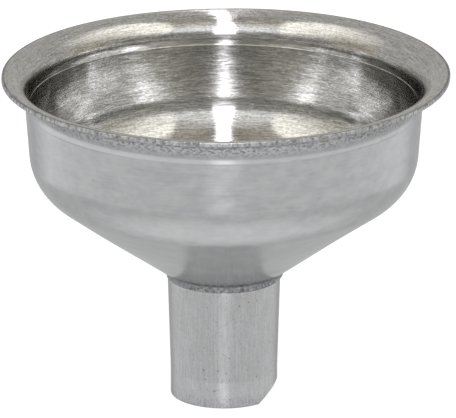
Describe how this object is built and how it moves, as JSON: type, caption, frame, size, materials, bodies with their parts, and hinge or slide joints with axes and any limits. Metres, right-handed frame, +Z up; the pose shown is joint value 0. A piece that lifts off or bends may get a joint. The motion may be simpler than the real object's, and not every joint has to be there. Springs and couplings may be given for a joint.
{
  "type": "funnel",
  "caption": "Small stainless steel kitchen funnel with a flared lip, a deep rounded bowl and a short soldered spout whose tip is cut slanted at one side.",
  "frame": {"origin": "centre of the spout's tip, on the funnel's axis, in the plane that the funnel stands on", "axes": "+Z up along the funnel's axis, from the spout to the mouth; the slanted cut of the tip is on the +X side"},
  "size_m": [0.05, 0.05, 0.0375],
  "materials": {
    "bowl_steel": "satin outside, spun and half polished inside",
    "spout_steel": "satin, with fine draw lines along its length",
    "solder": "dull"
  },
  "bodies": {
    "root": {"bowl": "bowl_steel", "spout": "spout_steel", "solder_ring": "solder"}
  },
  "joints": []
}
